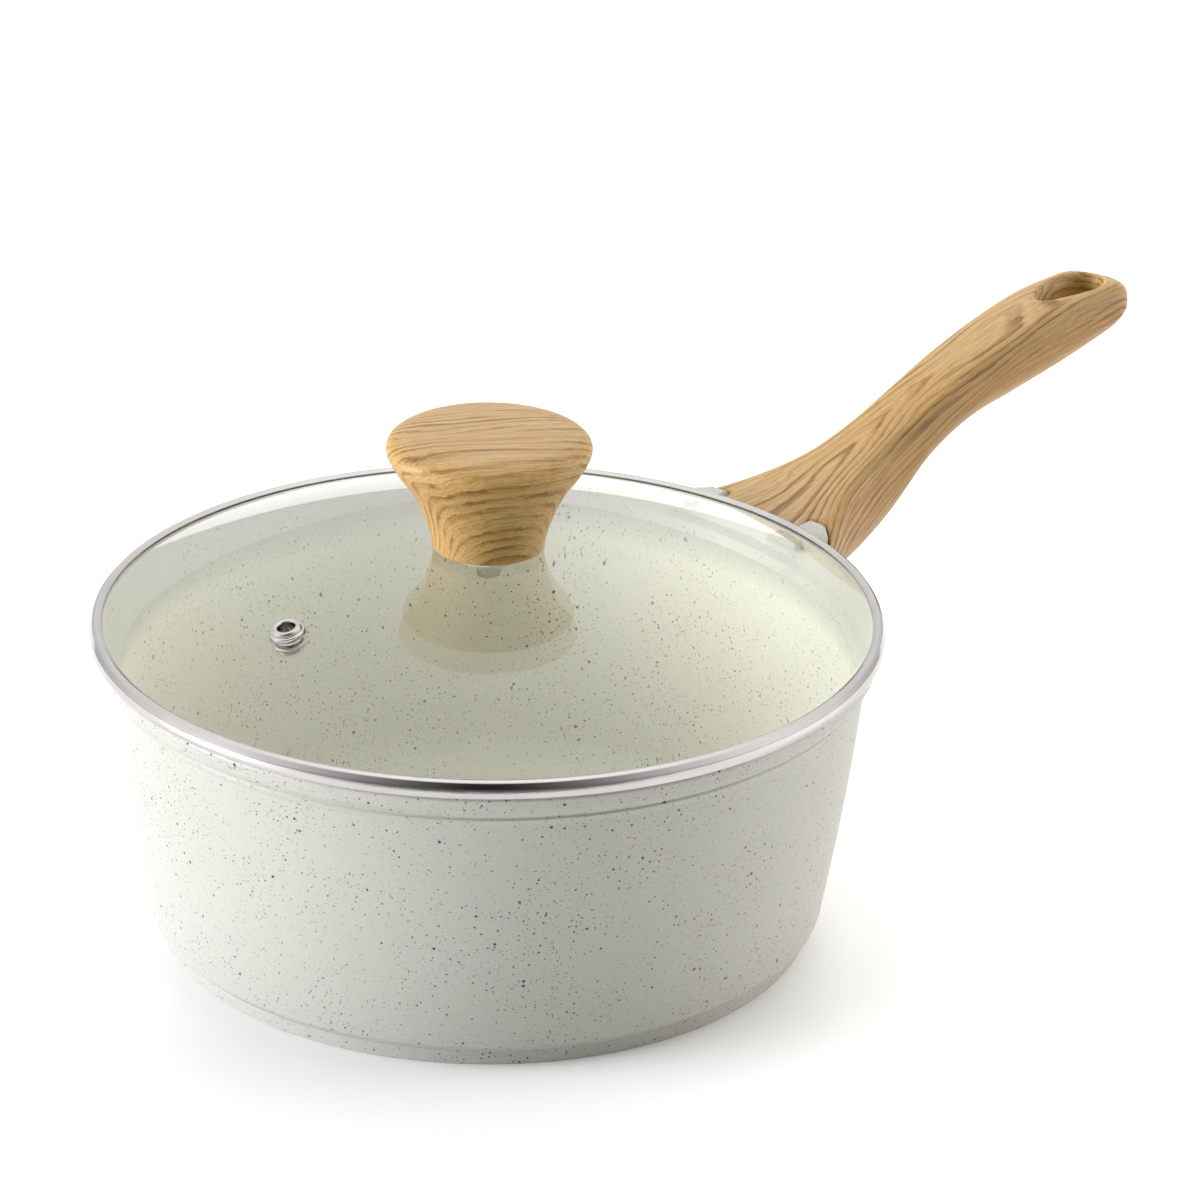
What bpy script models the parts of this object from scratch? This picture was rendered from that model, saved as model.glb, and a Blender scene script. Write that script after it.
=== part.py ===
"""Saucepan with a glass lid.

Metres, +Z up. The origin is the middle of the base on the worktop, and the handle points along +X.
Every turned piece is a profile with a Screw modifier; the handle is a loft cut by its bracket's
socket, its fixing hole and its hanging eye.
"""
import math

import bmesh
import bpy

MM = 0.001
CLEAR = 0.3 * MM                # gap kept between pieces that touch

# Pan
PAN_TOP = 81.8 * MM
FOOT_R = 84.7 * MM
FOOT_H = 4.3 * MM
WALL_FOOT_R = 88.3 * MM         # outside radius where the foot's corner ends
WALL_FOOT_Z = 8.0 * MM
WALL_TOP_Z = 73.6 * MM          # where the wall meets the step under the collar
WALL_SLOPE = 0.185
WALL_CURVE = 0.66               # per metre, makes the wall steeper towards the top
WALL_T = 3.7 * MM
FLOOR_Z = 5.2 * MM
CORNER_R = 12.0 * MM
COLLAR_R = 101.1 * MM

# Magnetic plate pressed into the underside
PLATE_R = 69.5 * MM
PLATE_T = 1.4 * MM

# Lid
GLASS_T = 4.0 * MM
GLASS_APEX_Z = 104.7 * MM
DOME_R = 257.3 * MM
GLASS_EDGE_R = 101.2 * MM
FLANGE_R = 94.0 * MM            # outside this radius the glass is ground flat underneath
FLANGE_Z = 83.1 * MM
LID_HOLE_R = 3.2 * MM
VENT_R = 64.0 * MM              # distance of the steam vent from the axis
VENT_ANGLE = math.radians(172)
VENT_HOLE_R = 3.3 * MM
VENT_BORE_R = 2.3 * MM

# Knob
KNOB_Z = 105.1 * MM
INSERT_R = 4.2 * MM
INSERT_LEN = 12.0 * MM
SCREW_R = 1.9 * MM

# Handle: distance from the pan's axis, half width of the top face, edge height, underside height
HANDLE_STATIONS = (
    (100.0, 28.5, 79.4, 62.6),
    (112.0, 22.6, 80.7, 61.2),
    (124.0, 17.2, 82.5, 60.0),
    (140.0, 11.9, 85.9, 60.2),
    (156.0, 9.6, 90.7, 66.2),
    (172.0, 9.2, 96.0, 78.0),
    (190.0, 9.4, 101.7, 85.0),
    (210.0, 10.0, 106.4, 87.8),
    (232.0, 10.7, 109.6, 91.0),
    (252.0, 10.6, 110.0, 94.8),
)
HANDLE_TIP = 265.8              # mm from the pan's axis
TIP_R = 13.0                    # mm, length of the rounded end
SIDE_SWELL = 1.4                # mm that the sides stand out below the top face
CROWN = 0.9                     # mm that the top face rises between its edges
EYE_S = 244.0 * MM              # middle of the hanging eye
EYE_LEN = 13.5 * MM             # half length
EYE_W = 5.6 * MM                # half width

# Bracket
WEB_W = 25.0 * MM               # half width at the pan
WEB_S = 112.0 * MM
WEB_Z = (66.0 * MM, 76.0 * MM)
TONGUE_W = 10.0 * MM
TONGUE_S = 134.0 * MM
TONGUE_Z = (69.5 * MM, 75.2 * MM)
HORN_W = (14.5 * MM, 24.5 * MM)
HORN_S = 112.5 * MM
HORN_Z = (67.0 * MM, 79.4 * MM)
FIX_S = 124.0 * MM              # handle screw
FIX_R = 2.35 * MM
FIX_SEAT_Z = 66.0 * MM
FIX_HEAD_R = 4.4 * MM

STEPS = 60                      # segments round a full turn on the large pieces
STEPS_SMALL = 24

for old in list(bpy.data.objects):
    bpy.data.objects.remove(old, do_unlink=True)

scene = bpy.context.scene
parts = bpy.data.collections.new("saucepan_with_glass_lid")
cutters = bpy.data.collections.new("cutters")
scene.collection.children.link(parts)
scene.collection.children.link(cutters)


def material(name, color, rough, metal=0.0, transmission=0.0):
    mat = bpy.data.materials.new(name)
    mat.use_nodes = True
    bsdf = mat.node_tree.nodes["Principled BSDF"]
    bsdf.inputs["Base Color"].default_value = (*color, 1.0)
    bsdf.inputs["Roughness"].default_value = rough
    bsdf.inputs["Metallic"].default_value = metal
    bsdf.inputs["Transmission Weight"].default_value = transmission
    return mat


def link(obj, mat=None, smooth_angle=35.0):
    """Puts a finished piece in the parts collection, or a cutter without a material in the other."""
    if mat is None:
        cutters.objects.link(obj)
        obj.hide_render = True
        obj.display_type = 'WIRE'
        return obj
    parts.objects.link(obj)
    obj.data.materials.append(mat)
    obj.data.shade_smooth()
    obj.data.set_sharp_from_angle(angle=math.radians(smooth_angle))
    return obj


def mesh_object(name, verts, edges, faces):
    mesh = bpy.data.meshes.new(name)
    mesh.from_pydata(verts, edges, faces)
    mesh.update()
    return bpy.data.objects.new(name, mesh)


def turned(name, profile, mat=None, steps=STEPS, closed=True):
    """A profile of (radius, z) points turned about Z. It runs down the outer side."""
    verts = [(r, 0.0, z) for r, z in profile]
    edges = [(i, i + 1) for i in range(len(verts) - 1)]
    if closed:
        edges.append((len(verts) - 1, 0))
    obj = mesh_object(name, verts, edges, [])
    screw = obj.modifiers.new("Turn", 'SCREW')
    screw.steps = steps
    screw.render_steps = steps
    screw.use_merge_vertices = True
    screw.merge_threshold = 0.00005
    return link(obj, mat)


def prism(name, outline, z_low, z_high, mat=None):
    """A flat (x, y) outline, counter-clockwise from above, extruded between two heights."""
    count = len(outline)
    verts = [(x, y, z_low) for x, y in outline] + [(x, y, z_high) for x, y in outline]
    faces = [tuple(reversed(range(count))), tuple(range(count, 2 * count))]
    for i in range(count):
        j = (i + 1) % count
        faces.append((i, j, count + j, count + i))
    return link(mesh_object(name, verts, [], faces), mat)


def boolean(obj, other, operation='DIFFERENCE'):
    mod = obj.modifiers.new(other.name, 'BOOLEAN')
    mod.object = other
    mod.operation = operation
    mod.solver = 'EXACT'


def arc(cx, cz, radius, start, end, count):
    """Points on an arc in the profile plane, angles in degrees."""
    angles = [math.radians(start + (end - start) * i / (count - 1)) for i in range(count)]
    return [(cx + radius * math.cos(a), cz + radius * math.sin(a)) for a in angles]


def wall_radius(z):
    rise = z - WALL_FOOT_Z
    return WALL_FOOT_R + WALL_SLOPE * rise - WALL_CURVE * rise * rise


def pan_outside(gap=0.0):
    """The pan's outer side from the lip down to the foot, pushed out by a gap."""
    lip = [(99.6, 81.8), (100.7, 81.3), (101.1, 80.4), (100.5, 77.4), (99.2, 75.4), (98.1, 74.4)]
    points = [(r * MM + gap, z * MM) for r, z in lip]
    for i in range(5):
        z = WALL_TOP_Z + (WALL_FOOT_Z - WALL_TOP_Z) * i / 4
        points.append((wall_radius(z) + gap, z))
    corner = arc(WALL_FOOT_R - 3.0 * MM, WALL_FOOT_Z - 0.4 * MM, 3.0 * MM, -20, -80, 4)
    points += [(r + gap, z) for r, z in corner]
    return points


def glass_outside(r):
    return GLASS_APEX_Z - (DOME_R - math.sqrt(DOME_R * DOME_R - r * r))


def glass_inside(r):
    inner = DOME_R - GLASS_T
    return GLASS_APEX_Z - GLASS_T - (inner - math.sqrt(inner * inner - r * r))


# ---------------------------------------------------------------- materials
STONE = material("stone_coating", (0.80, 0.79, 0.74), 0.45)
PLATE = material("base_steel", (0.62, 0.61, 0.59), 0.35, metal=1.0)
WOOD = material("wood_look", (0.62, 0.42, 0.22), 0.5)
GLASS = material("lid_glass", (0.93, 0.97, 0.94), 0.02, transmission=1.0)
STEEL = material("bright_steel", (0.72, 0.71, 0.70), 0.18, metal=1.0)
ZINC = material("screw_steel", (0.55, 0.55, 0.54), 0.35, metal=1.0)
BRASS = material("insert_brass", (0.70, 0.53, 0.25), 0.35, metal=1.0)
SILICONE = material("silicone", (0.80, 0.80, 0.78), 0.6)


# ---------------------------------------------------------------- pan
def make_pan():
    inner_z = [56.0, 38.0, 20.0]
    profile = [(0.0, FLOOR_Z)]
    corner_x = wall_radius(FLOOR_Z + CORNER_R) - WALL_T - CORNER_R
    profile += arc(corner_x, FLOOR_Z + CORNER_R, CORNER_R, -90, -8, 5)
    profile += [(wall_radius(z * MM) - WALL_T, z * MM) for z in reversed(inner_z)]
    ledge = [(93.6, 72.8), (94.6, 74.6), (96.2, 76.0), (97.4, 78.6), (98.4, 81.2), (98.9, 81.8)]
    profile += [(r * MM, z * MM) for r, z in ledge]
    profile += pan_outside()
    profile += [(FOOT_R + 0.2 * MM, FOOT_H), (FOOT_R, 0.6 * MM), (FOOT_R - 0.6 * MM, 0.0)]
    recess_r = PLATE_R + CLEAR
    recess_z = PLATE_T + CLEAR
    profile += [(recess_r, 0.0), (recess_r, recess_z), (0.0, recess_z)]
    return turned("pan_body", profile, STONE, closed=False)


def make_base_plate():
    edge = 0.3 * MM
    profile = [(0.0, PLATE_T), (PLATE_R - edge, PLATE_T), (PLATE_R, PLATE_T - edge)]
    profile += [(PLATE_R, edge), (PLATE_R - edge, 0.0), (0.0, 0.0)]
    return turned("base_plate", profile, PLATE, closed=False)


# ---------------------------------------------------------------- handle
def tapered_web(gap, back):
    """The bracket's plan outline: a web that narrows away from the pan."""
    near = WEB_W + gap
    far = HORN_W[0] + gap
    tip = WEB_S + gap
    return [(back, -near), (104 * MM, -near), (tip, -far), (tip, far), (104 * MM, near), (back, near)]


def box_outline(x0, x1, y0, y1):
    return [(x0, y0), (x1, y0), (x1, y1), (x0, y1)]


def horn_outline(side, gap, back):
    """One horn beside the grip, its outer corner cut off."""
    low, high = HORN_W[0] - gap, HORN_W[1] + gap
    tip = HORN_S + gap
    chamfer = 5.0 * MM
    points = [(back, low), (tip - 1.5 * MM, low), (tip, low + 1.5 * MM)]
    points += [(tip, high - chamfer), (tip - chamfer, high), (back, high)]
    if side < 0:
        points = [(x, -y) for x, y in reversed(points)]
    return points


def make_bracket(pan_clear):
    back = 92.0 * MM
    bracket = prism("handle_bracket", tapered_web(0.0, back), *WEB_Z, STONE)
    tongue = prism("tongue", box_outline(back + 5 * MM, TONGUE_S, -TONGUE_W, TONGUE_W), *TONGUE_Z)
    boolean(bracket, tongue, 'UNION')
    for side, word in ((1, "left"), (-1, "right")):
        horn = prism("horn_" + word, horn_outline(side, 0.0, back), *HORN_Z)
        boolean(bracket, horn, 'UNION')
    boolean(bracket, pan_clear)
    boolean(bracket, cylinder("tongue_thread", FIX_R + CLEAR, TONGUE_Z[0] - 5 * MM, 80 * MM, FIX_S))
    return bracket


def cylinder(name, radius, z_low, z_high, x, mat=None, steps=STEPS_SMALL):
    profile = [(0.0, z_high), (radius, z_high), (radius, z_low), (0.0, z_low)]
    obj = turned(name, profile, mat, steps=steps, closed=False)
    obj.location.x = x
    return obj


def smooth_value(column, s):
    """Cubic interpolation of one column of the handle's stations."""
    rows = HANDLE_STATIONS
    last = len(rows) - 1
    if s >= rows[last][0]:
        return rows[last][column]
    k = max(i for i in range(last) if rows[i][0] <= max(s, rows[0][0]))

    def slope(i):
        low, high = max(i - 1, 0), min(i + 1, last)
        return (rows[high][column] - rows[low][column]) / (rows[high][0] - rows[low][0])

    span = rows[k + 1][0] - rows[k][0]
    t = (s - rows[k][0]) / span
    start, end = rows[k][column], rows[k + 1][column]
    value = (2 * t**3 - 3 * t**2 + 1) * start + (3 * t**2 - 2 * t**3) * end
    value += (t**3 - 2 * t**2 + t) * span * slope(k) + (t**3 - t**2) * span * slope(k + 1)
    return value


def handle_section(s):
    """The closed ring of points round the handle at a distance s in millimetres from the pan's axis."""
    half, top, low = (smooth_value(column, s) for column in (1, 2, 3))
    swell = SIDE_SWELL
    end = max(0.0, (s - (HANDLE_TIP - TIP_R)) / TIP_R)
    if end > 0.0:
        shrink = math.sqrt(max(0.0, 1.0 - end**2.2))
        half *= shrink
        swell *= shrink
        top -= 3.0 * end**2
        low += 2.8 * end**2
    h = top - low
    side = [
        (0.0, top + CROWN),
        (0.55 * half, top + 0.75 * CROWN),
        (0.88 * half, top),
        (half + 0.45 * swell, top - 0.12 * h),
        (half + swell, top - 0.36 * h),
        (half + 0.8 * swell, top - 0.60 * h),
        (0.82 * half, top - 0.86 * h),
        (0.42 * half, top - 0.98 * h),
    ]
    ring = side + [(0.0, low)] + [(-y, z) for y, z in reversed(side[1:])]
    return [(s * MM, y * MM, z * MM) for y, z in ring]


def make_grip(pan_clear):
    first = HANDLE_STATIONS[0][0]
    tip_start = HANDLE_TIP - TIP_R
    stations = [first + (tip_start - first) * i / 20 for i in range(21)]
    stations += [tip_start + TIP_R * f for f in (0.25, 0.48, 0.68, 0.83, 0.93, 0.985)]
    rings = [handle_section(s) for s in stations]
    around = len(rings[0])
    verts = [point for ring in rings for point in ring]
    faces = []
    for i in range(len(rings) - 1):
        for j in range(around):
            k = (j + 1) % around
            a, b = i * around + j, i * around + k
            faces.append((a, b, b + around, a + around))
    faces.append(tuple(reversed(range(around))))
    faces.append(tuple(range((len(rings) - 1) * around, len(rings) * around)))
    grip = mesh_object("handle_grip", verts, [], faces)
    fix = bmesh.new()
    fix.from_mesh(grip.data)
    bmesh.ops.recalc_face_normals(fix, faces=fix.faces)
    fix.to_mesh(grip.data)
    fix.free()
    link(grip, WOOD)

    gap = CLEAR
    back = 95.0 * MM
    grow = (-gap, gap)
    web_z = [z + g for z, g in zip(WEB_Z, grow)]
    tongue_z = [z + g for z, g in zip(TONGUE_Z, grow)]
    side = TONGUE_W + gap
    boolean(grip, prism("web_socket", tapered_web(gap, back), *web_z))
    tongue_box = box_outline(back + 5 * MM, TONGUE_S + gap, -side, side)
    boolean(grip, prism("tongue_socket", tongue_box, *tongue_z))
    for sign, word in ((1, "left"), (-1, "right")):
        notch = prism("notch_" + word, horn_outline(sign, gap, back), HORN_Z[0] - gap, 90 * MM)
        boolean(grip, notch)
    boolean(grip, pan_clear)
    boolean(grip, make_fixing_bore())
    boolean(grip, make_eye())
    return grip


def make_fixing_bore():
    """The screw's hole through the underside of the grip, with a pocket for its head."""
    hole, pocket = FIX_R + 2 * CLEAR, FIX_HEAD_R + 3 * CLEAR
    top, low = TONGUE_Z[0] + 1 * MM, 50 * MM
    profile = [(0.0, top), (hole, top), (hole, FIX_SEAT_Z), (pocket, FIX_SEAT_Z), (pocket, low), (0.0, low)]
    bore = turned("fixing_bore", profile, steps=STEPS_SMALL, closed=False)
    bore.location.x = FIX_S
    bore.rotation_euler.z = math.pi / (2 * STEPS_SMALL)
    return bore


def make_eye():
    """The hanging eye: an egg-shaped slot, pointed towards the pan."""
    count = 28
    outline = []
    for i in range(count):
        a = 2 * math.pi * i / count
        taper = 1.0 + 0.32 * math.cos(a)
        outline.append((EYE_S + EYE_LEN * math.cos(a), EYE_W * taper * math.sin(a)))
    return prism("eye", outline, 80 * MM, 120 * MM)


def make_handle_fixings():
    head_z = FIX_SEAT_Z - 4.1 * MM
    head_top = FIX_SEAT_Z - 1.3 * MM
    slot_r = 1.6 * MM
    profile = [(0.0, TONGUE_Z[1] - 1 * MM), (FIX_R, TONGUE_Z[1] - 1 * MM), (FIX_R, head_top)]
    profile += [(FIX_HEAD_R, head_top), (FIX_HEAD_R, head_z + 1.2 * MM), (0.8 * FIX_HEAD_R, head_z)]
    profile += [(slot_r, head_z), (slot_r, head_z + 1.4 * MM), (0.0, head_z + 1.4 * MM)]
    screw = turned("handle_screw", profile, ZINC, steps=STEPS_SMALL, closed=False)
    screw.location.x = FIX_S
    washer_z = (FIX_SEAT_Z - 1.0 * MM, FIX_SEAT_Z - 0.3 * MM)
    ring = [(FIX_R + CLEAR, washer_z[1]), (FIX_HEAD_R, washer_z[1])]
    ring += [(FIX_HEAD_R, washer_z[0]), (FIX_R + CLEAR, washer_z[0])]
    washer = turned("handle_lock_washer", ring, ZINC, steps=STEPS_SMALL)
    washer.location.x = FIX_S


# ---------------------------------------------------------------- lid
def make_lid_axis():
    axis = bpy.data.objects.new("lid_axis", None)
    axis.location.z = PAN_TOP
    parts.objects.link(axis)
    return axis


def on_lid(obj, axis, place=(0.0, 0.0, 0.0)):
    """Parents a lid piece to the lid's axis and puts its own origin at a place in the world."""
    obj.parent = axis
    obj.location = (place[0], place[1], place[2] - PAN_TOP)
    return obj


def vent_place():
    slope = math.asin(VENT_R / DOME_R)
    centre = (VENT_R * math.cos(VENT_ANGLE), VENT_R * math.sin(VENT_ANGLE), glass_outside(VENT_R))
    return centre, slope


def tilt_to_glass(obj, slope):
    """Leans a piece on the vent's axis outwards, square to the glass."""
    obj.rotation_euler = (0.0, slope, VENT_ANGLE)


def make_glass(axis):
    radii = [LID_HOLE_R, 16 * MM, 30 * MM, 44 * MM, 57 * MM, 69 * MM, 80 * MM, 90 * MM, 98 * MM]
    profile = [(r, glass_outside(r)) for r in radii]
    profile += [(100.6 * MM, 84.7 * MM), (GLASS_EDGE_R, 84.2 * MM), (GLASS_EDGE_R, 83.4 * MM)]
    profile += [(100.8 * MM, FLANGE_Z), (FLANGE_R, FLANGE_Z)]
    profile += [(r, glass_inside(r)) for r in reversed(radii[:-2])]
    glass = on_lid(turned("lid_glass", profile, GLASS), axis)
    centre, slope = vent_place()
    drill = cylinder("vent_drill", VENT_HOLE_R, -9 * MM, 9 * MM, 0.0)
    drill.location = centre
    tilt_to_glass(drill, slope)
    boolean(glass, drill)
    return glass


def make_band(axis):
    """The rolled band: a channel closed over the glass edge, with a small locating bead inside."""
    outer = [(99.0, 86.0), (100.7, 86.0), (101.8, 85.5), (102.4, 84.6), (102.5, 83.7), (102.2, 82.7)]
    outer += [(101.4, 82.1), (97.4, 82.1), (97.1, 81.3), (96.5, 81.3)]
    inner = [(96.5, 82.7), (101.2, 82.7), (101.7, 83.1), (101.9, 83.7), (101.8, 84.4)]
    inner += [(101.4, 85.0), (100.6, 85.4), (99.0, 85.4)]
    profile = [(r * MM, z * MM) for r, z in outer + inner]
    return on_lid(turned("lid_band", profile, STEEL), axis)


def make_vent(axis):
    """The steam vent: a two-tier eyelet flared over a ring under the glass."""
    centre, slope = vent_place()
    under = -GLASS_T / MM
    bore = VENT_BORE_R / MM
    points = [(bore, 2.3), (2.7, 2.7), (3.4, 2.7), (3.9, 2.2), (4.0, 1.5), (4.7, 1.3), (5.0, 0.9)]
    points += [(5.0, 0.35), (2.9, 0.35), (2.9, under - 1.5), (3.9, under - 2.2), (3.6, under - 2.6)]
    points += [(bore, under - 1.7)]
    eyelet = turned("vent_eyelet", [(r * MM, z * MM) for r, z in points], STEEL, STEPS_SMALL)
    tilt_to_glass(on_lid(eyelet, axis, centre), slope)
    low, high = under - 1.1, under - 0.4
    points = [(3.3, high), (5.2, high), (5.5, high - 0.2), (5.5, low + 0.2), (5.2, low), (3.3, low)]
    ring = turned("vent_ring", [(r * MM, z * MM) for r, z in points], STEEL, STEPS_SMALL)
    tilt_to_glass(on_lid(ring, axis, centre), slope)


def make_knob(axis):
    crown = [(0.0, 135.6), (10.0, 135.5), (18.0, 135.0), (23.0, 134.2), (25.3, 133.3)]
    flare = [(26.2, 132.1), (26.2, 130.5), (25.7, 129.0), (24.3, 126.0), (20.8, 121.4), (18.5, 117.2)]
    neck = [(16.5, 112.9), (15.0, 108.6), (14.4, 105.1)]
    outside = [(r * MM, z * MM) for r, z in crown + flare + neck]
    seat_r, seat_z = 11.0 * MM, KNOB_Z + 1.6 * MM
    bore_r = INSERT_R + CLEAR
    bore_z = KNOB_Z + 2.0 * MM + INSERT_LEN + CLEAR
    inside = [(seat_r, KNOB_Z), (seat_r, seat_z), (bore_r, seat_z), (bore_r, bore_z), (0.0, bore_z)]
    on_lid(turned("knob", outside + inside, WOOD, steps=40, closed=False), axis)


def make_ring(name, inner, outer, z_low, z_high, mat, axis):
    """A flat ring about the lid's axis, its outer edges eased."""
    ease = min(0.2 * (z_high - z_low), 0.4 * MM)
    profile = [(inner, z_high), (outer - ease, z_high), (outer, z_high - ease)]
    profile += [(outer, z_low + ease), (outer - ease, z_low), (inner, z_low)]
    return on_lid(turned(name, profile, mat, steps=STEPS_SMALL), axis)


def make_knob_fixings(axis):
    under = GLASS_APEX_Z - GLASS_T
    hole = SCREW_R + CLEAR
    insert_z = KNOB_Z + 2.0 * MM
    make_ring("knob_insert", hole, INSERT_R, insert_z, insert_z + INSERT_LEN, BRASS, axis)
    make_ring("knob_seat_gasket", 4.6 * MM, 10.6 * MM, KNOB_Z, KNOB_Z + 1.3 * MM, SILICONE, axis)
    make_ring("knob_inner_gasket", hole, 9.0 * MM, under - 1.5 * MM, under - 0.5 * MM, SILICONE, axis)
    make_ring("knob_washer", hole, 7.5 * MM, under - 2.8 * MM, under - 1.8 * MM, ZINC, axis)
    head_r, head_top = 4.0 * MM, under - 3.1 * MM
    head_low, slot = head_top - 2.6 * MM, 1.5 * MM
    tip = insert_z + INSERT_LEN - 1.5 * MM
    profile = [(0.0, tip), (SCREW_R, tip), (SCREW_R, head_top), (head_r, head_top)]
    profile += [(head_r, head_low + 1.2 * MM), (0.75 * head_r, head_low), (slot, head_low)]
    profile += [(slot, head_low + 1.3 * MM), (0.0, head_low + 1.3 * MM)]
    on_lid(turned("knob_screw", profile, ZINC, steps=STEPS_SMALL, closed=False), axis)


# ---------------------------------------------------------------- assembly
def make_pan_clearance():
    """The pan's outer shape, grown by the usual gap, to cut the pieces that sit against it."""
    side = pan_outside(CLEAR)
    profile = [(0.0, 95 * MM), (COLLAR_R + CLEAR, 95 * MM)] + side[2:] + [(0.0, side[-1][1])]
    return turned("pan_clearance", profile, closed=False)


make_pan()
make_base_plate()
pan_clearance = make_pan_clearance()
make_bracket(pan_clearance)
make_grip(pan_clearance)
make_handle_fixings()
lid_axis = make_lid_axis()
make_glass(lid_axis)
make_band(lid_axis)
make_vent(lid_axis)
make_knob(lid_axis)
make_knob_fixings(lid_axis)
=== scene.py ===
"""Saucepan with a glass lid: finished surfaces, materials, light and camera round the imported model."""
import math

import bmesh
import bpy
from mathutils import Matrix, Vector


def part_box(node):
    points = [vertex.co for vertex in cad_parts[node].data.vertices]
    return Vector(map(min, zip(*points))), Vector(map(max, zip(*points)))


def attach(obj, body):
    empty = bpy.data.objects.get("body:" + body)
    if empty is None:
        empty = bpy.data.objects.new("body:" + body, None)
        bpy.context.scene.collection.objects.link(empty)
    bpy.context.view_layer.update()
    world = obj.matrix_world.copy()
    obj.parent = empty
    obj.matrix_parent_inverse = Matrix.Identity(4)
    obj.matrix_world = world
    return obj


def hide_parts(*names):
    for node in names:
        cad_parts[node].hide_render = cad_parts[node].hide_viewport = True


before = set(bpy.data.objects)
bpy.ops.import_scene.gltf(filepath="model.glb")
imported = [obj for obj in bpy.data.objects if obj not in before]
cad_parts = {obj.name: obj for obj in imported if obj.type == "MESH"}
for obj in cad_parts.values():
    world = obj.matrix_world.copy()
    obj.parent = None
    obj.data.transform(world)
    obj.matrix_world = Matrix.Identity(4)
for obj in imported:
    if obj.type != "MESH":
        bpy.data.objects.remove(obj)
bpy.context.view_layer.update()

MM = 0.001                      # metres in a millimetre
CLEAR = 0.3                     # gap between pieces that touch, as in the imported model, in mm
ROUND = 240                     # segments round the large turned pieces
ROUND_SMALL = 64                # and round screws, bores and the hanging eye
VIEW_TURN = math.radians(-47)   # how far the viewer stands round from looking along +Y

# Levels and radii in millimetres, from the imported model
PAN_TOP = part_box("pan_body")[1].z / MM
RIM_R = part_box("pan_body")[1].x / MM
PLATE_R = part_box("base_plate")[1].x / MM
PLATE_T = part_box("base_plate")[1].z / MM
GLASS_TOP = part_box("lid_glass")[1].z / MM
GLASS_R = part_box("lid_glass")[1].x / MM
BAND_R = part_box("lid_band")[1].x / MM
BAND_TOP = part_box("lid_band")[1].z / MM
KNOB_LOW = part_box("knob")[0].z / MM
KNOB_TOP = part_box("knob")[1].z / MM
GRIP_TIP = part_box("handle_grip")[1].x / MM
SCREW_S = (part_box("handle_screw")[0].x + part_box("handle_screw")[1].x) / 2 / MM
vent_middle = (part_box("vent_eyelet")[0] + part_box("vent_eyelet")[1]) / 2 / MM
VENT_R = math.hypot(vent_middle.x, vent_middle.y)
VENT_ANGLE = math.atan2(vent_middle.y, vent_middle.x)

# Other measures in millimetres
WALL_FOOT = (88.3, 8.0)         # radius and height where the outer wall meets the corner of the foot
WALL_TOP = PAN_TOP - 8.2        # where it meets the collar
WALL_T = 3.7                    # wall's thickness
FLOOR = 5.2                     # height of the pan's inner floor
LEDGE_FOOT = 66.0               # where the inner wall starts to widen into the ledge
MOUTH_R = RIM_R - 2.4           # inner radius at the very top
GRIP_START = 98.0               # distance from the pan's axis to the grip's root
TIP_R = 13.0                    # length of the grip's rounded end
EYE_MIDDLE = 244.0              # distance to the middle of the hanging eye
BOSS_TOP = 76.3                 # top of the bracket's socket in the grip
HORN_LOW = 66.7                 # underside of the bracket's horns, less the gap
DOME_R = 257.3                  # radius of the lid's spherical top
GLASS_T = 4.0                   # glass thickness at the knob
HOLE_R = 3.2                    # hole in the glass under the knob
PANE_R = 99.0                   # where the glass goes under the band
EDGE_LOW = 83.1                 # underside of the glass's edge
KNOB_FOOT_R = 14.4              # foot of the knob on the glass
KNOB_MOUTH_R = 11.0             # and its hollow underneath


# ---------------------------------------------------------------- profiles
def arc_corner(before, corner, after, radius, count=6):
    """Points that round a corner of a profile with an arc."""
    a = Vector(before) - Vector(corner)
    b = Vector(after) - Vector(corner)
    angle = a.angle(b)
    reach = min(radius / math.tan(angle / 2), 0.49 * a.length, 0.49 * b.length)
    radius = reach * math.tan(angle / 2)
    a.normalize()
    b.normalize()
    centre = Vector(corner) + (a + b).normalized() * (radius / math.sin(angle / 2))
    start = Vector(corner) + a * reach - centre
    end = Vector(corner) + b * reach - centre
    points = []
    for i in range(count + 1):
        t = i / count
        d = start.slerp(end, t) if start.angle(end) > 1e-4 else start.lerp(end, t)
        points.append(tuple(centre + d.normalized() * radius))
    return points


def rounded(corners, closed=False):
    """A profile in mm from (radius, z, rounding) corners; an open one keeps its two ends sharp."""
    out = []
    count = len(corners)
    for i, (r, z, fillet) in enumerate(corners):
        at_end = not closed and i in (0, count - 1)
        if fillet <= 0 or at_end:
            out.append((r, z))
        else:
            out += arc_corner(corners[i - 1][:2], (r, z), corners[(i + 1) % count][:2], fillet)
    return out


def spline(points, per=6):
    """A Catmull-Rom curve through points."""
    out = []
    for i in range(len(points) - 1):
        p0 = Vector(points[max(i - 1, 0)])
        p1, p2 = Vector(points[i]), Vector(points[i + 1])
        p3 = Vector(points[min(i + 2, len(points) - 1)])
        for k in range(per):
            t = k / per
            q = 2 * p1 + (p2 - p0) * t + (2 * p0 - 5 * p1 + 4 * p2 - p3) * t**2
            q += (3 * p1 - p0 - 3 * p2 + p3) * t**3
            out.append(tuple(q / 2))
    out.append(tuple(points[-1]))
    return out


def sagitta(radius, r):
    """How far a dome has fallen at a distance r from its apex."""
    return radius - math.sqrt(radius * radius - r * r)


# ---------------------------------------------------------------- meshes
def place_object(name, data):
    """A new object in the scene."""
    obj = bpy.data.objects.new(name, data)
    bpy.context.scene.collection.objects.link(obj)
    return obj


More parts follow.
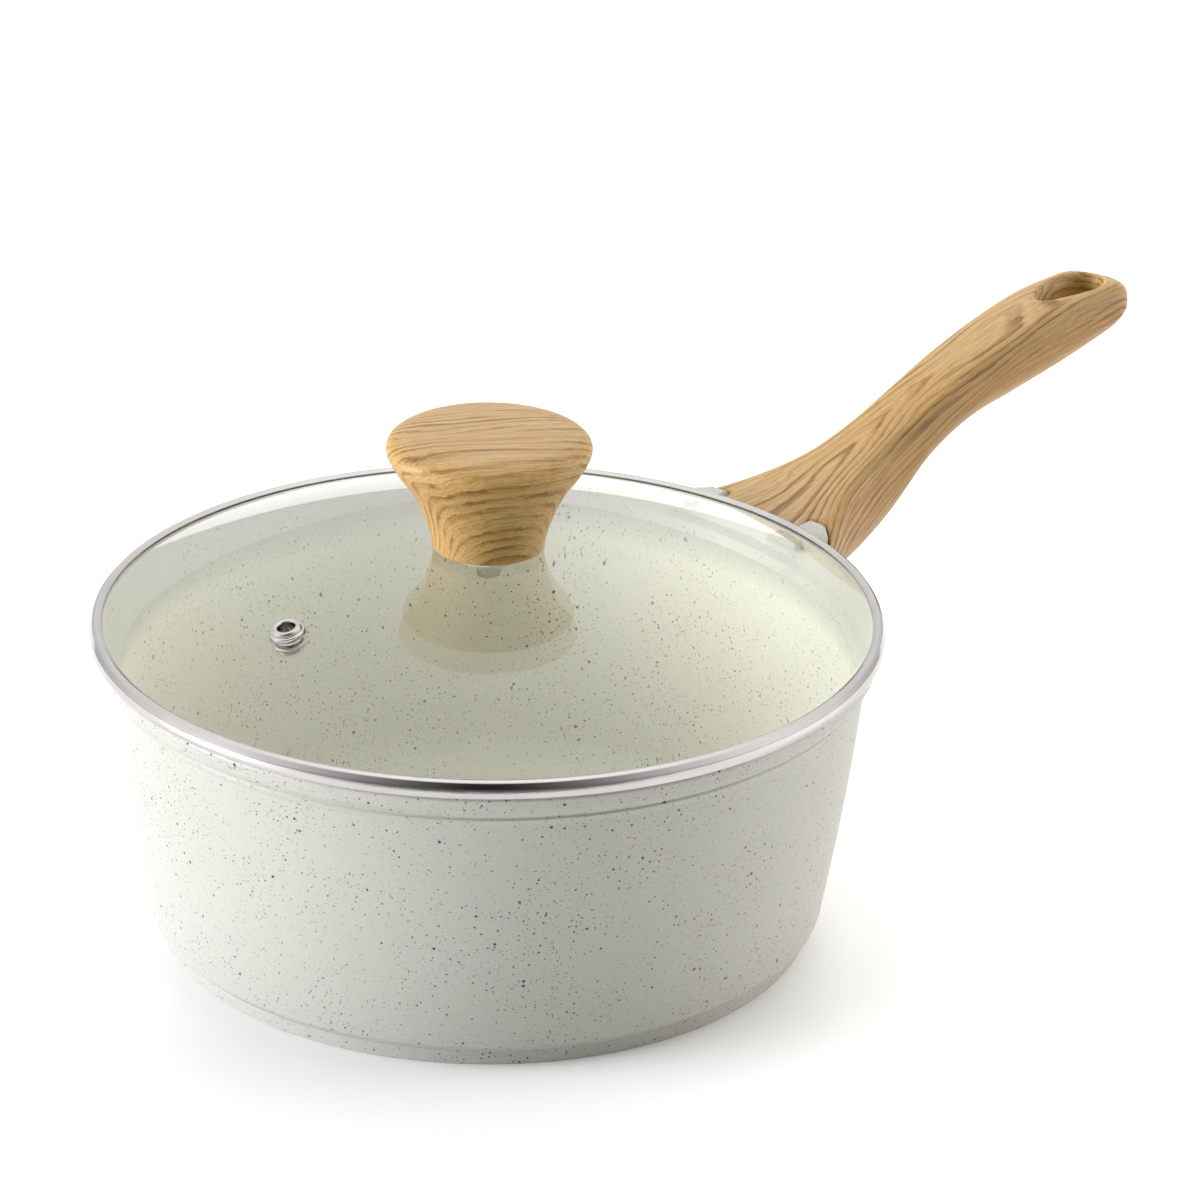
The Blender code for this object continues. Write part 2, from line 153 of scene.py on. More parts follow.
def piece(name, mesh, mat, body, slot, *nodes, sharp=None):
    """A finished mesh that rides on a body and stands for CAD nodes; sharp is the angle, in degrees, from
    which its edges aren't smoothed."""
    obj = place_object(name, mesh)
    mesh.materials.clear()
    mesh.materials.append(mat)
    mesh.shade_smooth()
    if sharp is not None:
        mesh.set_sharp_from_angle(angle=math.radians(sharp))
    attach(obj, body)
    if nodes:
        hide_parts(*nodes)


def mesh_from(bm, name, place=None):
    """The finished mesh of a bmesh, its normals outwards, moved by a matrix in metres."""
    bmesh.ops.recalc_face_normals(bm, faces=bm.faces)
    if place is not None:
        bm.transform(place)
    mesh = bpy.data.meshes.new(name)
    bm.to_mesh(mesh)
    bm.free()
    return mesh


def lathe(name, profile, steps=ROUND, closed=True, place=None):
    """A profile in mm turned about Z, with a pole where it meets the axis."""
    bm = bmesh.new()
    rings = []
    for r, z in profile:
        if r < 1e-6:
            rings.append([bm.verts.new((0, 0, z * MM))])
            continue
        ring = []
        for i in range(steps):
            a = 2 * math.pi * i / steps
            ring.append(bm.verts.new((r * MM * math.cos(a), r * MM * math.sin(a), z * MM)))
        rings.append(ring)
    pairs = list(zip(rings, rings[1:]))
    if closed:
        pairs.append((rings[-1], rings[0]))
    for upper, lower in pairs:
        for i in range(steps):
            j = (i + 1) % steps
            if len(upper) == 1 and len(lower) == 1:
                break
            if len(upper) == 1:
                bm.faces.new((upper[0], lower[i], lower[j]))
            elif len(lower) == 1:
                bm.faces.new((upper[i], lower[0], upper[j]))
            else:
                bm.faces.new((upper[i], lower[i], lower[j], upper[j]))
    return mesh_from(bm, name, place)


def loft(name, rings):
    """A closed mesh through rings of points in metres."""
    bm = bmesh.new()
    rows = [[bm.verts.new(p) for p in ring] for ring in rings]
    around = len(rows[0])
    for a, b in zip(rows, rows[1:]):
        for j in range(around):
            k = (j + 1) % around
            bm.faces.new((a[j], a[k], b[k], b[j]))
    bm.faces.new(rows[0])
    bm.faces.new(rows[-1])
    return mesh_from(bm, name)


def prism(name, outline, low, high):
    """An outline in mm extruded between two heights in mm."""
    return loft(name, [[(x * MM, y * MM, z * MM) for x, y in outline] for z in (low, high)])


def applied(obj, *helpers):
    """The object's mesh with its modifiers applied; it and its helpers are then removed."""
    bpy.context.view_layer.update()
    mesh = bpy.data.meshes.new_from_object(obj.evaluated_get(bpy.context.evaluated_depsgraph_get()))
    for gone in (obj, *helpers):
        bpy.data.objects.remove(gone)
    return mesh


def cut(mesh, *others):
    """The mesh less other meshes."""
    obj = place_object("cut_body", mesh)
    tools = []
    for other in others:
        tools.append(place_object("cut_tool", other))
        mod = obj.modifiers.new("cut", "BOOLEAN")
        mod.object = tools[-1]
        mod.operation = "DIFFERENCE"
        mod.solver = "EXACT"
    return applied(obj, *tools)


def soften(mesh, voxel, passes):
    """The mesh remeshed with small voxels and smoothed, so that its cut edges have a moulded radius."""
    obj = place_object("soften", mesh)
    remesh = obj.modifiers.new("voxels", "REMESH")
    remesh.mode = "VOXEL"
    remesh.voxel_size = voxel * MM
    smooth = obj.modifiers.new("smooth", "SMOOTH")
    smooth.factor = 0.5
    smooth.iterations = passes
    return applied(obj)


def store_grain(mesh, where):
    """Keeps each point's place in the wood, in mm: along the grain, across it, and depth."""
    attribute = mesh.attributes.new("grain", "FLOAT_VECTOR", "POINT")
    for i, v in enumerate(mesh.vertices):
        attribute.data[i].vector = where(v.co / MM)


# ---------------------------------------------------------------- node helpers
class Graph:
    """A short way to write the nodes of a material or a world."""

    def __init__(self, owner):
        owner.use_nodes = True
        self.tree = owner.node_tree

    def add(self, kind, **values):
        node = self.tree.nodes.new("ShaderNode" + kind)
        for key, value in values.items():
            setattr(node, key, value)
        return node

    def wire(self, source, target):
        self.tree.links.new(source, target)

    def feed(self, node, index, value):
        """Links a socket, or sets a plain number or colour."""
        if isinstance(value, bpy.types.NodeSocket):
            self.wire(value, node.inputs[index])
        else:
            node.inputs[index].default_value = value

    def fill(self, node, *values):
        """Feeds the node's first sockets in order."""
        for i, value in enumerate(values):
            self.feed(node, i, value)
        return node

    def math(self, operation, *values, clamp=False):
        return self.fill(self.add("Math", operation=operation, use_clamp=clamp), *values).outputs[0]

    def mix_shaders(self, factor, a, b):
        return self.fill(self.add("MixShader"), factor, a, b).outputs[0]

    def show(self, surface):
        """Links the shader that the material or world ends in."""
        kind = "World Output" if "World Output" in self.tree.nodes else "Material Output"
        self.wire(surface, self.tree.nodes[kind].inputs["Surface"])


class Nodes(Graph):
    """The nodes of a material."""

    def __init__(self, name):
        self.mat = bpy.data.materials.new(name)
        super().__init__(self.mat)
        self.shader = self.tree.nodes["Principled BSDF"]

    def coords(self, source, scale, offset=(0, 0, 0)):
        node = self.add("Mapping")
        self.wire(source, node.inputs["Vector"])
        node.inputs["Scale"].default_value = scale
        node.inputs["Location"].default_value = offset
        return node.outputs[0]

    def noise(self, vector, scale, detail=3.0, rough=0.5, color=False):
        node = self.add("TexNoise")
        self.wire(vector, node.inputs["Vector"])
        node.inputs["Scale"].default_value = scale
        node.inputs["Detail"].default_value = detail
        node.inputs["Roughness"].default_value = rough
        return node.outputs["Color" if color else "Fac"]

    def span(self, value, low, high, to_low=0.0, to_high=1.0, smooth=False):
        """The value's run from low to high, turned into a run from to_low to to_high."""
        node = self.add("MapRange", interpolation_type="SMOOTHSTEP" if smooth else "LINEAR")
        return self.fill(node, value, low, high, to_low, to_high).outputs[0]

    def mix(self, factor, a, b):
        node = self.add("Mix", data_type="RGBA")
        self.feed(node, 0, factor)
        self.feed(node, 6, a if isinstance(a, bpy.types.NodeSocket) else (*a, 1.0))
        self.feed(node, 7, b if isinstance(b, bpy.types.NodeSocket) else (*b, 1.0))
        return node.outputs[2]

    def ramp(self, value, *stops):
        node = self.add("ValToRGB")
        self.wire(value, node.inputs[0])
        elements = node.color_ramp.elements
        while len(elements) < len(stops):
            elements.new(0.5)
        for element, (place, color) in zip(elements, stops):
            element.position = place
            element.color = (*color, 1.0)
        return node.outputs[0]

    def split(self, kind, source):
        """The three parts of a vector (SeparateXYZ) or a colour (SeparateColor)."""
        node = self.add(kind)
        self.wire(source, node.inputs[0])
        return node.outputs

    def squared(self, value):
        return self.math("MULTIPLY", value, value)

    def give(self, name, source):
        """Links a socket of the shader."""
        self.wire(source, self.shader.inputs[name])

    def bump(self, height, strength, distance):
        node = self.add("Bump")
        node.inputs["Strength"].default_value = strength
        node.inputs["Distance"].default_value = distance
        self.wire(height, node.inputs["Height"])
        self.give("Normal", node.outputs[0])

    def set(self, **values):
        """Sets sockets of the shader that are the same all over."""
        for key, value in values.items():
            self.shader.inputs[key.replace("_", " ")].default_value = value

    def object_mm(self):
        """The piece's own coordinates in millimetres."""
        return self.coords(self.add("TexCoord").outputs["Object"], (1000, 1000, 1000))


# ---------------------------------------------------------------- materials
def stone_coating():
    """Off-white ceramic coating with layers of fine dark specks."""
    n = Nodes("stone_coating")
    where = n.object_mm()
    wander = n.noise(where, 1.6, 2.0, color=True)
    shake = n.fill(n.add("VectorMath", operation="MULTIPLY_ADD"), wander, (0.5, 0.5, 0.5), where)
    spread = n.noise(where, 0.045, 2.0)
    cloud = n.noise(where, 0.02, 3.0)
    inside = n.add("Attribute", attribute_name="inside").outputs["Fac"]
    color = n.mix(n.span(cloud, 0.35, 0.65), (0.385, 0.383, 0.343), (0.400, 0.398, 0.358))
    # Painted light: the coating is lighter and warmer inside the pan than outside, standing in for light
    # that reaches it through the lid
    color = n.mix(inside, color, (0.61, 0.605, 0.53))
    specks = None
    layers = (                  # cell, smallest and largest radius in mm, strength, palest and darkest tone
        (0.78, 0.09, 0.20, 0.75, (0.15, 0.14, 0.11), (0.07, 0.065, 0.05)),
        (1.35, 0.12, 0.30, 0.92, (0.08, 0.07, 0.05), (0.03, 0.027, 0.024)),
        (3.7, 0.20, 0.48, 0.97, (0.04, 0.035, 0.03), (0.01, 0.01, 0.01)),
    )
    for cell, small, large, depth, light, dark in layers:
        cells = n.add("TexVoronoi", feature="F1")
        n.wire(shake.outputs[0], cells.inputs["Vector"])
        cells.inputs["Scale"].default_value = 1.0 / cell
        lots = n.split("SeparateColor", cells.outputs["Color"])
        share = n.math("POWER", lots[0], 1.3)
        radius = n.span(share, 0.0, 1.0, small / cell, large / cell)
        radius = n.math("MULTIPLY", radius, n.span(spread, 0.35, 0.65, 0.8, 1.15))
        edge = n.math("SUBTRACT", radius, cells.outputs["Distance"])
        mask = n.span(edge, -0.02 / cell, 0.05 / cell, 0.0, depth, smooth=True)
        color = n.mix(mask, color, n.mix(lots[1], light, dark))
        specks = mask if specks is None else n.math("MAXIMUM", specks, mask)
    n.give("Base Color", color)
    grain = n.noise(where, 1.1, 4.0)
    rough = n.math("ADD", n.span(grain, 0.3, 0.7, 0.36, 0.46), n.math("MULTIPLY", specks, 0.12))
    n.give("Roughness", rough)
    n.set(Coat_Weight=0.12, Coat_Roughness=0.3)
    height = n.math("SUBTRACT", n.noise(where, 0.55, 3.0), n.math("MULTIPLY", specks, 0.25))
    n.bump(height, 0.10, 0.00025)
    return n.mat


def wood_look(name, heart_depth, tilt, lean, spacing, flank_shade):
    """Printed wood grain: growth rings about a heart, fibres along the grain and short pores.

    heart_depth (mm) and tilt place the heart under the surface, lean makes the rings one-sided, spacing is
    theirs in mm, and flank_shade darkens the flanks as painted shade.
    """
    n = Nodes(name)
    where = n.add("Attribute", attribute_name="grain").outputs["Vector"]
    long_wave = n.noise(n.coords(where, (0.014, 0.05, 0.05)), 1.0, 1.5, color=True)
    waves = n.split("SeparateColor", long_wave)
    axes = n.split("SeparateXYZ", where)
    across = n.math("ADD", axes[1], n.span(waves[0], 0.25, 0.75, -3.5, 3.5))
    heart = n.math("MULTIPLY_ADD", axes[0], tilt, heart_depth)
    depth = n.math("SUBTRACT", heart, axes[2])
    depth = n.math("ADD", depth, n.span(waves[1], 0.25, 0.75, -3.0, 3.0))
    squares = n.math("ADD", n.squared(across), n.squared(depth))
    rings = n.math("MULTIPLY_ADD", across, lean, n.math("SQRT", squares))
    rings = n.math("DIVIDE", rings, spacing)
    ragged = n.noise(n.coords(where, (0.05, 0.8, 0.8)), 1.0, 5.0, 0.65)
    rings = n.math("ADD", rings, n.span(ragged, 0.25, 0.75, -0.20, 0.20))
    saw = n.math("FRACT", rings)
    late = n.math("MULTIPLY", n.span(saw, 0.35, 0.92, smooth=True), n.span(saw, 0.92, 1.0, 1.0, 0.0))
    thin = n.math("FRACT", n.math("MULTIPLY", rings, 2.7))
    thin = n.math("MULTIPLY", n.span(thin, 0.45, 0.9, smooth=True), n.span(thin, 0.9, 1.0, 1.0, 0.0))
    strong = n.noise(n.coords(where, (0.012, 0.20, 0.20)), 1.0, 2.0)
    late = n.math("MULTIPLY", late, n.span(strong, 0.38, 0.62, 0.10, 1.0))
    thin = n.math("MULTIPLY", thin, n.span(strong, 0.35, 0.65, 0.30, 0.12))
    fibre = n.noise(n.coords(where, (0.04, 2.6, 2.6)), 1.0, 4.0, 0.65)
    fine = n.noise(n.coords(where, (0.25, 9.0, 9.0)), 1.0, 3.0, 0.6)
    tone = n.math("ADD", n.math("MULTIPLY", late, 0.72), n.span(fibre, 0.3, 0.7, -0.08, 0.38))
    tone = n.math("ADD", tone, n.math("ADD", thin, n.span(fine, 0.35, 0.7, -0.08, 0.18)))
    # Painted shade: the wood darkens towards the flanks, away from the middle of the top
    side = n.span(n.math("ABSOLUTE", axes[1]), 8.0, 11.5, 0.0, flank_shade, smooth=True)
    tone = n.math("ADD", tone, side, clamp=True)
    color = n.ramp(tone, (0.0, TAN), (0.45, OAK), (1.0, BROWN))
    pores = n.noise(n.coords(where, (0.30, 7.0, 7.0), (7, 3, 5)), 1.0, 2.0)
    pores = n.span(pores, 0.58, 0.68, 0.0, 0.55, smooth=True)
    pores = n.math("MULTIPLY", pores, n.span(late, 0.0, 0.6, 0.35, 1.0))
    color = n.mix(pores, color, tuple(0.6 * c for c in BROWN))
    n.give("Base Color", color)
    n.give("Roughness", n.span(tone, 0.0, 1.0, 0.44, 0.54))
    n.set(Specular_IOR_Level=0.3, Coat_Weight=0.03, Coat_Roughness=0.3)
    height = n.math("SUBTRACT", n.math("MULTIPLY", tone, -0.4), n.math("MULTIPLY", pores, 0.8))
    n.bump(height, 0.22, 0.0002)
    return n.mat


def clear_glass():
    """Tempered glass with a faint green body; lamps shine through it."""
    n = Nodes("lid_glass")
    where = n.object_mm()
    wipe = n.noise(n.coords(where, (0.03, 0.05, 0.05)), 1.0, 3.0)
    n.give("Roughness", n.span(wipe, 0.4, 0.8, 0.0, 0.02))
    n.give("Base Color", n.mix(wipe, (0.95, 0.957, 0.907), (0.96, 0.967, 0.917)))
    n.set(Transmission_Weight=1.0, IOR=1.5)
    clear = n.add("BsdfTransparent")
    clear.inputs["Color"].default_value = (0.94, 0.948, 0.90, 1.0)
    shadow = n.add("LightPath").outputs["Is Shadow Ray"]
    n.show(n.mix_shaders(shadow, n.shader.outputs[0], clear.outputs[0]))
    return n.mat


def metal(name, color, rough_low, rough_high, brush=(0.2, 0.2, 6.0), bump=0.05):
    """Steel or brass with fine working lines and slight tone changes."""
    n = Nodes(name)
    where = n.object_mm()
    lines = n.noise(n.coords(where, brush), 1.0, 4.0, 0.6)
    cloud = n.noise(where, 0.08, 3.0)
    dull = tuple(0.93 * c for c in color)
    n.give("Base Color", n.mix(n.span(cloud, 0.3, 0.7), color, dull))
    n.give("Roughness", n.span(lines, 0.3, 0.7, rough_low, rough_high))
    n.set(Metallic=1.0)
    n.bump(lines, bump, 0.00005)
    return n.mat


def turned_metal(name, color, pitch, rough_low, rough_high):
    """Metal faced on a lathe: fine circular lines about the pan's axis."""
    n = Nodes(name)
    where = n.object_mm()
    x, y, _ = n.split("SeparateXYZ", where)
    radius = n.math("SQRT", n.math("ADD", n.squared(x), n.squared(y)))
    line = n.math("SINE", n.math("MULTIPLY", radius, 2 * math.pi / pitch))
    wear = n.noise(where, 0.12, 4.0)
    dull = tuple(0.86 * c for c in color)
    n.give("Base Color", n.mix(n.span(wear, 0.3, 0.7), color, dull))
    rough = n.math("ADD", n.span(wear, 0.3, 0.7, rough_low, rough_high), n.math("MULTIPLY", line, 0.04))
    n.give("Roughness", rough)
    n.set(Metallic=1.0)
    n.bump(line, 0.3, 0.00006)
    return n.mat


def silicone():
    """Milky soft rubber with a little dust."""
    n = Nodes("silicone")
    where = n.object_mm()
    dust = n.noise(where, 0.6, 4.0)
    n.give("Base Color", n.mix(n.span(dust, 0.4, 0.7), (0.50, 0.50, 0.47), (0.44, 0.44, 0.41)))
    n.give("Roughness", n.span(dust, 0.3, 0.7, 0.5, 0.65))
    n.set(Subsurface_Weight=0.3, Subsurface_Scale=0.002)
    n.bump(dust, 0.1, 0.0001)
    return n.mat


STONE = stone_coating()
TAN, OAK, BROWN = (0.46, 0.312, 0.120), (0.345, 0.192, 0.052), (0.165, 0.070, 0.016)
WOOD_GRIP = wood_look("wood_look_handle",
                      heart_depth=-6.0, tilt=0.06, lean=0.0, spacing=1.9, flank_shade=0.24)
WOOD_KNOB = wood_look("wood_look_knob",
                      heart_depth=-4.0, tilt=0.03, lean=0.55, spacing=2.6, flank_shade=0.0)
GLASS = clear_glass()
BRIGHT = metal("bright_steel", (0.56, 0.545, 0.53), 0.07, 0.13)
FIXING = metal("fixing_steel", (0.58, 0.58, 0.57), 0.25, 0.38, (0.8, 0.8, 0.8), 0.1)
PLATE = turned_metal("base_steel", (0.60, 0.59, 0.57), 0.5, 0.26, 0.38)
BRASS = metal("insert_brass", (0.72, 0.54, 0.25), 0.22, 0.35, (0.5, 0.5, 3.0), 0.08)
SILICONE = silicone()


# ---------------------------------------------------------------- pan
def wall_radius(z):
    """The outer wall's radius at a height: a taper that gets a little steeper upwards."""
    rise = z - WALL_FOOT[1]
    return WALL_FOOT[0] + 0.185 * rise - 0.00066 * rise * rise


def pan_outside():
    """The outer side: the collar round the lip, the bead under it, the wall and the stepped foot."""
    under_bead = WALL_TOP - 2
    collar = [                                   # radius, height, rounding
        (MOUTH_R, PAN_TOP, 0.0),
        (RIM_R - 1.2, PAN_TOP, 0.5),
        (RIM_R, PAN_TOP - 1.3, 1.2),
        (RIM_R - 0.6, PAN_TOP - 4.6, 3.0),
        (RIM_R - 1.9, PAN_TOP - 6.5, 1.2),
        (wall_radius(WALL_TOP) + 0.1, WALL_TOP + 1.1, 0.5),
        (wall_radius(WALL_TOP) + 0.75, WALL_TOP + 0.35, 0.3),
        (wall_radius(under_bead) + 0.1, WALL_TOP - 1.2, 0.6),
        (wall_radius(under_bead), under_bead, 0.0),
    ]
    profile = rounded(collar)
    for i in range(1, 22):
        z = under_bead + (WALL_FOOT[1] - under_bead) * i / 22
        profile.append((wall_radius(z), z))
    foot = [
        (wall_radius(10.0), 10.0, 0.0),
        (88.1, 6.6, 2.2),
        (86.0, 4.5, 0.9),
        (84.95, 4.3, 0.35),
        (84.7, 0.7, 0.0),
        (84.7, 0.0, 0.6),
        (83.6, 0.0, 0.0),
    ]
    return profile[:-1] + rounded(foot)


def make_pan():
    """The cast pan in one skin: inside, ledge for the lid, collar, wall, foot and the plate's recess."""
    corner = 12.0                                # radius of the inner corner
    low = FLOOR + corner
    inner = [(0.0, FLOOR), (30.0, FLOOR), (60.0, FLOOR)]
    middle = wall_radius(low) - WALL_T - corner
    for i in range(15):
        a = math.radians(-90 + 82 * i / 14)
        inner.append((middle + corner * math.cos(a), low + corner * math.sin(a)))
    for i in range(1, 16):
        z = low + (LEDGE_FOOT - low) * i / 15
        inner.append((wall_radius(z) - WALL_T, z))
    ledge = [
        (wall_radius(LEDGE_FOOT) - WALL_T, LEDGE_FOOT, 0.0),
        (wall_radius(72.0) - WALL_T - 0.2, PAN_TOP - 9.4, 1.5),
        (94.7, PAN_TOP - 7.3, 1.0),
        (96.4, PAN_TOP - 5.8, 0.8),
        (97.4, PAN_TOP - 3.2, 2.5),
        (MOUTH_R, PAN_TOP - 0.4, 0.5),
        (MOUTH_R, PAN_TOP, 0.0),
    ]
    recess_r, recess_z = PLATE_R + CLEAR, PLATE_T + CLEAR
    under = [(82.0, 0.0), (recess_r, 0.0), (recess_r, recess_z), (60.0, recess_z), (0.0, recess_z)]
    profile = inner[:-1] + rounded(ledge)[:-1] + pan_outside() + under
    mesh = lathe("pan_shell", profile, closed=False)
    inside = mesh.attributes.new("inside", "FLOAT", "POINT")    # 1 where the coating takes its lighter inside tone, which is painted light
    for i, v in enumerate(mesh.vertices):
        radius, height = math.hypot(v.co.x, v.co.y) / MM, v.co.z / MM
        within = radius < wall_radius(height) - 0.5 * WALL_T
        inside.data[i].value = float(FLOOR - 0.1 < height < 70 and within)
    piece("pan_shell", mesh, STONE, "pan", "stone_coating", "pan_body")


def make_plate():
    """The magnetic plate, with shallow turned grooves on its underside."""
    rim = [(20, PLATE_T, 0), (PLATE_R, PLATE_T, 0.3), (PLATE_R, 0.0, 0.35), (66.0, 0.0, 0)]
    profile = [(0.0, PLATE_T)] + rounded(rim)
    for r in (64.0, 52.0, 40.0, 28.0, 16.0):     # the grooves
        profile += [(r + 0.8, 0.0), (r + 0.5, 0.22), (r - 0.5, 0.22), (r - 0.8, 0.0)]
    profile.append((0.0, 0.0))
    mesh = lathe("induction_plate", profile, closed=False)
    piece("induction_plate", mesh, PLATE, "pan", "base_steel", "base_plate")


# ---------------------------------------------------------------- handle
GRIP_STATIONS = (               # distance from the pan's axis, half width, edge height, underside
    (GRIP_START, 29.3, 79.6, 62.9),
    (112.0, 22.6, 80.7, 61.2),
    (124.0, 17.2, 82.5, 60.0),
    (140.0, 11.9, 85.9, 60.2),
    (156.0, 9.6, 90.7, 66.2),
    (172.0, 9.2, 96.0, 78.0),
    (190.0, 9.4, 101.7, 85.0),
    (210.0, 10.0, 106.4, 87.8),
    (232.0, 10.7, 109.6, 91.0),
    (252.0, 10.6, 110.0, 94.8),
    (268.0, 10.0, 109.4, 98.6),
)


def grip_value(column, s):
    """One column of the stations at a distance s, on a smooth curve through them."""
    rows = GRIP_STATIONS
    k = max(i for i in range(len(rows) - 1) if rows[i][0] <= max(s, rows[0][0]))
    t = (s - rows[k][0]) / (rows[k + 1][0] - rows[k][0])
    picks = [rows[min(max(k + d, 0), len(rows) - 1)] for d in (-1, 0, 1, 2)]
    near = [Vector((row[0], row[column])) for row in picks]
    start = (near[2].y - near[0].y) / max(near[2].x - near[0].x, 1e-6)
    end = (near[3].y - near[1].y) / max(near[3].x - near[1].x, 1e-6)
    span = near[2].x - near[1].x
    value = (2 * t**3 - 3 * t**2 + 1) * near[1].y + (3 * t**2 - 2 * t**3) * near[2].y
    return value + (t**3 - 2 * t**2 + t) * span * start + (t**3 - t**2) * span * end


def grip_ring(s):
    """The grip's outline at a distance s mm from the pan's axis."""
    half, top, low = (grip_value(column, s) for column in (1, 2, 3))
    swell = 1.4                                  # how far the sides bulge past the edge
    end = max(0.0, (s - (GRIP_TIP - TIP_R)) / TIP_R)
    if end > 0.0:
        shrink = math.sqrt(max(0.0, 1.0 - end**2.2))
        half *= shrink
        swell *= shrink
        top -= 3.0 * end**2
        low += 2.8 * end**2
    h = top - low
    side = [
        (0.0, top + 0.9),
        (0.55 * half, top + 0.68),
        (0.88 * half, top + 0.05),
        (half + 0.45 * swell, top - 0.12 * h),
        (half + swell, top - 0.36 * h),
        (half + 0.8 * swell, top - 0.60 * h),
        (0.82 * half, top - 0.86 * h),
        (0.42 * half, top - 0.98 * h),
        (0.0, low),
    ]
    ring = spline(side + [(-y, z) for y, z in reversed(side[:-1])], per=5)[:-1]
    return [(s * MM, y * MM, z * MM) for y, z in ring]


def horn_outline(side, gap):
    """One of the bracket's two horns from above, widened by a gap."""
    low, high, tip, chamfer = 14.5 - gap, 24.5 + gap, 112.5 + gap, 5.0
    points = [(92.0, low), (tip, low), (tip, high - chamfer), (tip - chamfer, high), (92.0, high)]
    return [(x, side * y) for x, y in points]


def eye_rings():
    """The hanging eye as a funnel: wide at the top face, narrower below, pointed towards the pan."""
    levels = (                                   # height, length and width factors, shift outwards
        (80.0, 0.86, 0.80, 1.0),
        (101.0, 0.86, 0.80, 1.0),
        (105.0, 0.90, 0.84, 0.6),
        (108.0, 0.97, 0.94, 0.2),
        (110.0, 1.06, 1.10, 0.0),
        (112.0, 1.22, 1.36, 0.0),
        (120.0, 1.6, 1.9, 0.0),
    )
    rings = []
    for z, along, wide, shift in levels:
        ring = []
        for i in range(ROUND_SMALL):
            a = 2 * math.pi * i / ROUND_SMALL
            taper = 1.0 + 0.30 * math.cos(a)
            x = EYE_MIDDLE + shift + 13.5 * along * math.cos(a)
            ring.append((x * MM, 5.6 * wide * taper * math.sin(a) * MM, z * MM))
        rings.append(ring)
    return rings


def grip_grain(p):
    """A point's place in the grip's wood, which follows the handle's bend and fans out with its root."""
    s = min(max(p.x, GRIP_START), GRIP_TIP)
    half = grip_value(1, s)
    return (p.x, p.y * 10.0 / half, p.z - grip_value(2, s))


def make_grip():
    """The moulded grip, cut back from the pan, the bracket and the screw, with its edges softened."""
    last = GRIP_TIP - TIP_R
    stations = [GRIP_START + (last - GRIP_START) * i / 90 for i in range(91)]
    stations += [last + TIP_R * math.sin(math.pi / 2 * i / 24) * 0.9985 for i in range(1, 25)]
    grip = loft("grip", [grip_ring(s) for s in stations])
    clearance = [(0.0, 95.0), (RIM_R + CLEAR, 95.0), (RIM_R + CLEAR, PAN_TOP - 1.3)]
    clearance += [(r + CLEAR, z) for r, z in pan_outside() if z < PAN_TOP - 1.5 and z > 10]
    clearance.append((0.0, clearance[-1][1]))
    boss = [(90, -25.3), (104, -25.3), (112.3, -14.8), (112.3, 14.8), (104, 25.3), (90, 25.3)]
    bore = [(0.0, 70.5), (2.95, 70.5), (2.95, 66.0), (5.3, 66.0), (5.3, 50.0), (0.0, 50.0)]
    tools = [
        lathe("clearance", clearance, closed=False),
        prism("socket", boss, 65.7, BOSS_TOP),
        prism("tongue", [(97, -10.3), (134.3, -10.3), (134.3, 10.3), (97, 10.3)], 69.2, 75.5),
        prism("notch_left", horn_outline(1, CLEAR), HORN_LOW, 90.0),
        prism("notch_right", horn_outline(-1, CLEAR), HORN_LOW, 90.0),
        loft("eye", eye_rings()),
        lathe("bore", bore, ROUND_SMALL, False, Matrix.Translation((SCREW_S * MM, 0, 0))),
    ]
    mesh = soften(cut(grip, *tools), 0.55, 6)
    store_grain(mesh, grip_grain)
    piece("grip", mesh, WOOD_GRIP, "pan", "wood_look_handle", "handle_grip")


def finish_node(name, mat, width=0.0):
    """A CAD node that stays: a better material, and eased edges where it has flat sides."""
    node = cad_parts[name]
    node.data.materials.clear()
    node.data.materials.append(mat)
    if width > 0:
        weld = node.modifiers.new("weld", "WELD")
        weld.merge_threshold = 0.00001
        bevel = node.modifiers.new("edges", "BEVEL")
        bevel.width = width * MM
        bevel.segments = 3
        bevel.limit_method = "ANGLE"
        bevel.angle_limit = math.radians(30)
        bevel.harden_normals = True


def make_horn_caps():
    """The faceted tops of the bracket's two horns, which stand level with the wood round them."""
    for side, label in ((1, "left"), (-1, "right")):
        rings = []
        for inset, z in ((0.0, 79.41), (0.0, 80.5), (1.3, 81.7)):
            middle = Vector((103.0, side * 19.5))
            ring = []
            for i, corner in enumerate(horn_outline(side, 0.0)):
                p = Vector(corner)
                p += (middle - p).normalized() * inset
                dip = (0.3 if i in (0, 4) else 0.0) * inset      # the end at the pan is a little lower
                ring.append((p.x * MM, p.y * MM, (z - dip) * MM))
            rings.append(ring)
        piece("horn_cap_" + label, loft("horn_cap", rings), STONE, "pan", "stone_coating", sharp=20)


def screw_mesh(name, shank_r, tip, head_top, head_r, head_h, place):
    """A machine screw with its head down: domed head and a cross recess."""
    low = head_top - head_h
    corners = [
        (0.5, tip, 0), (shank_r, tip, 0.3), (shank_r, head_top, 0.2), (head_r, head_top, 0.25),
        (head_r, low + 0.55 * head_h, 0.8), (0.72 * head_r, low, 0.9), (0.3, low, 0),
    ]
    body = lathe(name, [(0.0, tip)] + rounded(corners) + [(0.0, low)], ROUND_SMALL, False)
    depth, wide, long = 0.55 * head_h, 0.22 * head_r, 0.62 * head_r
    blades = []
    for turn in (0, 1):
        outer = [(-long, -wide), (long, -wide), (long, wide), (-long, wide)]
        if turn:
            outer = [(y, -x) for x, y in outer]
        inner = [(0.55 * x, 0.75 * y) if not turn else (0.75 * x, 0.55 * y) for x, y in outer]
        rings = [[(x * MM, y * MM, (low - 0.5) * MM) for x, y in outer],
                 [(x * MM, y * MM, (low + depth) * MM) for x, y in inner]]
        blades.append(loft("blade", rings))
    mesh = cut(body, *blades)
    mesh.transform(place)
    return mesh


